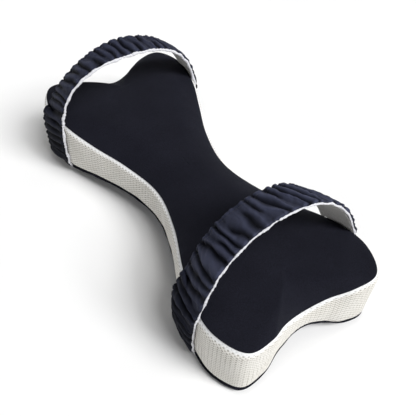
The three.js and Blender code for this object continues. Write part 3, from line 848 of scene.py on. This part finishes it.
def gathers(strap, band):
    """The gathered cover's height over the band, its back edge's scallops, and the painted shade of its
    folds.
    """
    seed = strap["seed"]
    u, v = band.along, band.across
    wander = waves(seed, 6, 28, 80)(u, v * 0.6)
    waver = waves(seed + 1, 6, 12, 30)(u, v)
    phase = (u - SLANT * v) / strap["pitch"] + 0.26 * wander + 0.08 * waver
    # each valley between two gathers has a strength, a kind and a reach of its own
    valley = np.round(phase).astype(int) + 4
    away = np.abs(phase - np.round(phase))
    rng = np.random.default_rng(seed + 2)
    count = int(band.length / strap["pitch"]) + 14
    strength = rng.uniform(0.6, 1.0, count)[valley]
    kind = rng.uniform(0, 1, count)[valley]
    limit = rng.uniform(0.5, 0.85, count)[valley]
    share = v / band.width
    from_back = 1 - smoothstep(share, limit - 0.3, limit)
    from_front = smoothstep(share, 1 - limit, 1.3 - limit)
    reach = np.where(kind < 0.55, 1.0, np.where(kind < 0.82, from_back, from_front))
    # crests and creases, finer folds near both edges, and the hem's stitched groove
    crease = strength * mix(0.12, 1, reach) * np.exp(-away / 0.13)
    crest = np.abs(np.sin(math.pi * phase)) * mix(0.35, 1, reach)
    near_back = np.exp(-v / 5.5)
    near_front = np.exp(-(band.width - v) / 5)
    small = np.abs(np.sin(math.pi * (u + 0.1 * v) / (strap["pitch"] * 0.47) + 1.7 * waver)) ** 0.6
    pinned = mix(0.4, 1, np.sin(math.pi * np.clip(share, 0, 1)) ** 0.45)
    drift = 0.85 + 0.15 * waves(seed + 3, 5, 30, 90)(u, v)
    height = strap["depth"] * (0.5 * crest - 0.75 * crease) * pinned * drift
    height += 0.7 * small * (near_back + near_front) + 0.22 * waves(seed + 4, 8, 5, 13)(u, v)
    height -= 0.8 * np.exp(-((v - HEM) / 0.6) ** 2)
    height = np.maximum(height + strap["depth"] * 0.38, -0.25)
    # the fullness below the top seam, fading out at both feet
    level = band.grid[..., 2] - MID_HEIGHT
    below_seam = smoothstep(level, -30, -16) * (1 - smoothstep(level, 8, SEAM_LEVEL + 8))
    height += strap["puff"] * below_seam * (1 - share) ** 0.8 * mix(0.5, 1, smoothstep(share, 0, 0.3))
    height *= smoothstep(u, 0, 6) * smoothstep(band.length - u, 0, 6)
    # how the back edge waves, and the painted shade: dark in the folds' valleys, light on their crests,
    # darker towards the feet
    scallop = (1.6 * np.abs(np.sin(math.pi * phase)) - 0.9) * np.exp(-v / 4.5)
    # painted shade in the folds, darkest in the valleys and lightest on the crests, and in the small folds
    # near both edges
    ridge = np.clip(np.sin(math.pi * np.minimum(away * 2, 1) / 2), 0, 1) ** 2.3
    painted_shade_weight = mix(0.35, 1, reach) * mix(0.8, 1, strength) * mix(0.75, 1, pinned)
    shade = mix(0.62, mix(0.06, 1, ridge), painted_shade_weight)
    shade -= 0.25 * (1 - small) * (near_back + near_front)
    # painted shade darker towards the feet, and over the whole strap as its tone is below 1
    shade *= strap["tone"] * mix(0.15, 1, smoothstep(level, 0, 85))
    return height, strap["scallop"] * scallop, np.clip(shade, 0, 1)


def swept(name, line, sides, radius_a, radius_b, axis_a, axis_b):
    """A closed tube along a line; its section has radii radius_a and radius_b along the two axes."""
    turn = np.arange(sides) / sides * TURN
    rings = line[:, None, :]
    rings = rings + axis_a[:, None, :] * (radius_a * np.cos(turn))[..., None]
    rings = rings + axis_b[:, None, :] * (radius_b * np.sin(turn))[..., None]
    uvs = np.stack(np.broadcast_arrays(travel(line)[:, None], turn[None, :] * 1.5), axis=-1).reshape(-1, 2)
    return tube_object(name, rings, uvs)


def edging(name, strap, band):
    """Overlocked binding along the front edge: a wavering tube wrapped in stitches."""
    half_width, half_height = strap["edge"]
    along = np.arange(0, band.length, 0.42)

    def wander(offset, count, shortest, longest):
        return waves(strap["seed"] + offset, count, shortest, longest)(along, 0 * along)

    across = band.width + 0.45 + 0.55 * wander(5, 6, 14, 45) * 0.8
    lift = 1.45 + 0.25 * wander(6, 5, 10, 22)
    line, side, out = band.axes(along, across, lift)
    side = unit(side - out * np.sum(side * out, axis=-1, keepdims=True))
    side = smooth_rows(side, 20)
    turn = np.arange(EDGE_SIDES) / EDGE_SIDES * TURN
    wrap = np.abs(np.sin(math.pi * along[:, None] / WRAP_PITCH + turn[None, :] / 2))
    width = 1 + 0.18 * wander(7, 6, 9, 30)
    width += 0.13 * wander(9, 8, 2.6, 6)
    ends = smoothstep(along, 0, 2)[:, None] * smoothstep(band.length - along, 0, 2)[:, None] * 0.6 + 0.4
    swell = (0.88 + 0.15 * wrap) * width[:, None]
    return swept(name, line, EDGE_SIDES, half_width * swell * ends, half_height * swell * ends, side, out)


def frayed_ends(name, strap, band):
    """Short loose threads where the binding is sewn into the seam at each foot, at the front edge."""
    rng = np.random.default_rng(strap["seed"] + 12)
    t = np.linspace(0, 1, FRAY_POINTS)[:, None]
    radius = 0.24 * (1 - 0.5 * t)
    bm = bmesh.new()
    for foot, ahead in ((1.5, 1), (band.length - 1.5, -1)):
        for _ in range(FRAY_THREADS):
            along, lift = np.array([foot, foot + 3 * ahead]), np.full(2, FRAY_LIFT)
            across = np.full(2, band.width + rng.uniform(-0.8, 1.6))
            (start, above), (side, _), (out, _) = band.axes(along, across, lift)
            down = (start - above) / 3
            lean = out * rng.uniform(0.5, 1.1) + side * rng.uniform(-0.4, 0.9)
            lean = lean + down * rng.uniform(-0.5, 0.5)
            curl = np.sin(t * math.pi * rng.uniform(0.8, 1.6)) * (side * rng.uniform(-1, 1) + down)
            line = start + t * lean * rng.uniform(2.2, 4.2) + curl * 0.9
            line[:, 2] = np.maximum(line[:, 2], 0.4)
            sides, ups = [np.tile(axis, (FRAY_POINTS, 1)) for axis in (side, np.cross(lean, side))]
            thread = swept(name + "_thread", line, 6, radius, radius, sides, ups)
            bm.from_mesh(thread.data)
            bpy.data.objects.remove(thread)
    mesh = bpy.data.meshes.new(name)
    bm.to_mesh(mesh)
    bm.free()
    return add_object(name, mesh)


def hem_stitches(name, band, lift):
    """Running stitches that hold the hem down, dipping into the cloth between one and the next."""
    along = np.arange(5, band.length - 5, 0.3)
    across = np.full_like(along, HEM)
    dip = 0.5 - 0.5 * np.cos(TURN * along / STITCH)
    level = np.interp(along, band.along[:, 0], lift)
    out = level + 0.22 - 0.55 * dip ** 3
    line, side, up = band.axes(along, across, out)
    radius = np.full((len(along), 1), 0.26)
    return swept(name, line, 6, radius, radius, side, up)


def bend(piece, material, slot, strap_name, *nodes):
    """Finishes a strap's piece, with no body, and bakes its transform into its mesh."""
    finish_piece(piece, material, slot, *nodes, body=None)
    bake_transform(piece)
    return piece


def build_strap(name, strap):
    """All of one strap's pieces: gathered cover, hem stitches, elastic, lining, binding, loose ends."""
    cad = name + "_strap_"
    band = Band(strap)
    height, scallop, shade = gathers(strap, band)
    outer = COVER_OFFSET + height
    level = np.full_like(outer, COVER_OFFSET - COVER_THICKNESS)
    cover_piece = band.shell(name + "_gathered_cover", outer, level, 0.6, -scallop, shade)
    bend(cover_piece, GATHERED, "gathered_navy", name, cad + "cover", cad + "leg_left", cad + "leg_right")
    hem_row = int(round(HEM / band.width * (BAND_COLUMNS - 1)))
    bend(hem_stitches(name + "_hem_stitches", band, outer[:, hem_row]), NAVY_THREAD, "gathered_navy", name)
    elastic = band.shell(name + "_elastic_core", level - ELASTIC_TOP, level - ELASTIC_BOTTOM, -1.5)
    bend(elastic, ELASTIC, "elastic", name, cad + "elastic")
    ribs = 0.16 * np.cos(TURN * band.along / RIB_PITCH)
    ribs += 0.12 * waves(strap["seed"] + 8, 6, 12, 40)(band.along, band.across)
    lining = band.shell(name + "_mesh_lining", level - LINING_TOP, ribs - 0.1, -0.6)
    bend(lining, STRAP_MESH, "white_mesh", name, cad + "lining")
    bend(edging(name + "_overlock_edge", strap, band), OVERLOCK, "white_thread", name, cad + "edging")
    finish_piece(frayed_ends(name + "_frayed_ends", strap, band), OVERLOCK, "white_thread")


for strap_name, strap in STRAPS.items():
    build_strap(strap_name, strap)


# ---------------- zip
def coil(name, side):
    """One side's nylon coil, a flattened helix along the edge of its tape."""
    half_length, pitch, radius = 110, 1.5, 0.33
    inner, outer, low, high = 0.5, 2.9, 2.4, 4.1
    turns = np.arange(-half_length, half_length, pitch / 10)
    angle = TURN * turns / pitch + (math.pi if side > 0 else 0)
    across, up = (outer - inner) / 2 - radius, (high - low) / 2 - radius
    line = np.stack([
        turns,
        side * ((inner + outer) / 2 + across * np.sign(np.cos(angle)) * np.abs(np.cos(angle)) ** 0.8),
        (low + high) / 2 + up * np.sin(angle),
    ], axis=1)
    ahead = unit(np.gradient(line, axis=0))
    across_axis = unit(np.cross(ahead, [1.0, 0, 0.001]))
    radii = np.full((len(line), 1), radius)
    return swept(name, line, 6, radii, radii, across_axis, np.cross(ahead, across_axis))


def copy_of(node, name, bevel):
    """A copy of a rigid CAD node with its edges rounded."""
    piece = tidy(add_object(name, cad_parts[node].data.copy()))
    with_modifier(piece, "BEVEL", width=bevel * MM, segments=3, limit_method="ANGLE",
                  angle_limit=math.radians(35), use_clamp_overlap=True)
    piece.data.shade_smooth()
    return piece


def zip_guard():
    """A flap of the cover's knit behind the zip, between its coils and the foam."""
    half_length, half_width, height = 118, 13, 5.35
    rows, columns = 160, 16
    x, y = np.meshgrid(np.linspace(-half_length, half_length, rows),
                       np.linspace(-half_width, half_width, columns), indexing="ij")
    z = height + 0.12 * waves(47, 6, 14, 40)(x, y)
    guard = make_object("zip_guard", np.stack([x, y, z], axis=-1), grid_faces(rows, columns))
    return with_modifier(guard, "SOLIDIFY", thickness=0.4 * MM, offset=0)


finish_piece(zip_guard(), KNIT, "navy_knit")
for side_name, side in (("left", -1), ("right", 1)):
    node = "zip_coil_" + side_name
    finish_piece(coil("coil_" + side_name, side), NYLON, "nylon_coil", node)
    node = "zip_tape_" + side_name
    finish_piece(copy_of(node, "tape_" + side_name, 0.15), TAPE, "zip_tape", node)
for node, body, bevel in (("zip_slider", "slider", 0.22), ("zip_pull_tab", "pull_tab", 0.2),
                          ("zip_closed_stop", "root", 0.3), ("zip_open_stop", "root", 0.3)):
    finish_piece(copy_of(node, node + "_finished", bevel), GUNMETAL, "dark_metal", node, body=body)

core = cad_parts["foam_core"]
core.data.materials.clear()
core.data.materials.append(FOAM)


# ---------------- studio
LOOK = Vector((30.83, 1.37, 38)) * MM  # what the camera looks at
DISTANCE = 0.57583
AZIMUTH, ELEVATION, ROLL = math.radians(-36.364), math.radians(49.612), math.radians(3.838)
LENS = 47.58

WORLD_STRENGTH = 0.22
# The floor lies FLOOR_GAP below the object. It is flat for FLOOR_FLAT and then curves up to
# FLOOR_RIM at its edge, so that no horizon shows.
FLOOR_FLAT, FLOOR_RADIUS, FLOOR_RIM, FLOOR_GAP = 6000, 20000, 6500, 0.3
FLOOR_SIDES, FLOOR_RINGS = 64, 24


def studio_floor():
    turn = np.arange(FLOOR_SIDES) / FLOOR_SIDES * TURN
    reach = np.linspace(FLOOR_FLAT / 2, FLOOR_RADIUS, FLOOR_RINGS)[:, None]
    height = FLOOR_RIM * 2 * smoothstep(reach, FLOOR_FLAT, 2 * FLOOR_RADIUS - FLOOR_FLAT) - FLOOR_GAP
    rings = np.broadcast_arrays(reach * np.cos(turn), reach * np.sin(turn), height)
    faces = grid_faces(FLOOR_RINGS, FLOOR_SIDES, closed_columns=True)
    faces.append(list(range(FLOOR_SIDES)))
    floor = make_object("studio_floor", np.stack(rings, axis=-1), faces)
    floor.data.materials.append(floor_material())
    return floor


studio_floor()

world = bpy.data.worlds.new("studio")
world.use_nodes = True
world.node_tree.nodes["Background"].inputs["Color"].default_value = (1, 1, 1, 1)
world.node_tree.nodes["Background"].inputs["Strength"].default_value = WORLD_STRENGTH
bpy.context.scene.world = world
bpy.context.scene.view_settings.view_transform = "Standard"


def direction(azimuth, elevation):
    level = math.cos(elevation)
    return Vector((math.cos(azimuth) * level, math.sin(azimuth) * level, math.sin(elevation)))


def sun(name, azimuth, elevation, softness, strength):
    """A broad distant light; softness is the angle its source spans."""
    lamp = bpy.data.lights.new(name, "SUN")
    lamp.angle = math.radians(softness)
    lamp.energy = strength
    towards = direction(math.radians(azimuth), math.radians(elevation))
    add_object(name, lamp).rotation_euler = towards.to_track_quat("Z", "Y").to_euler()


sun("key", 30, 45, 22, 2.1)
sun("fill", 15, 60, 22, 1.3)

forward = -direction(AZIMUTH, ELEVATION)
right = forward.cross(Vector((0, 0, 1))).normalized()
up = right.cross(forward)
turned_right = math.cos(ROLL) * right + math.sin(ROLL) * up
turned_up = -math.sin(ROLL) * right + math.cos(ROLL) * up
camera = add_object("camera", bpy.data.cameras.new("camera"))
camera.data.lens = LENS
camera.data.sensor_width = 36
camera.data.clip_start = 0.01
pose = Matrix([turned_right, turned_up, -forward]).transposed().to_4x4()
pose.translation = LOOK - forward * DISTANCE
camera.matrix_world = pose
bpy.context.scene.camera = camera

bpy.context.view_layer.update()
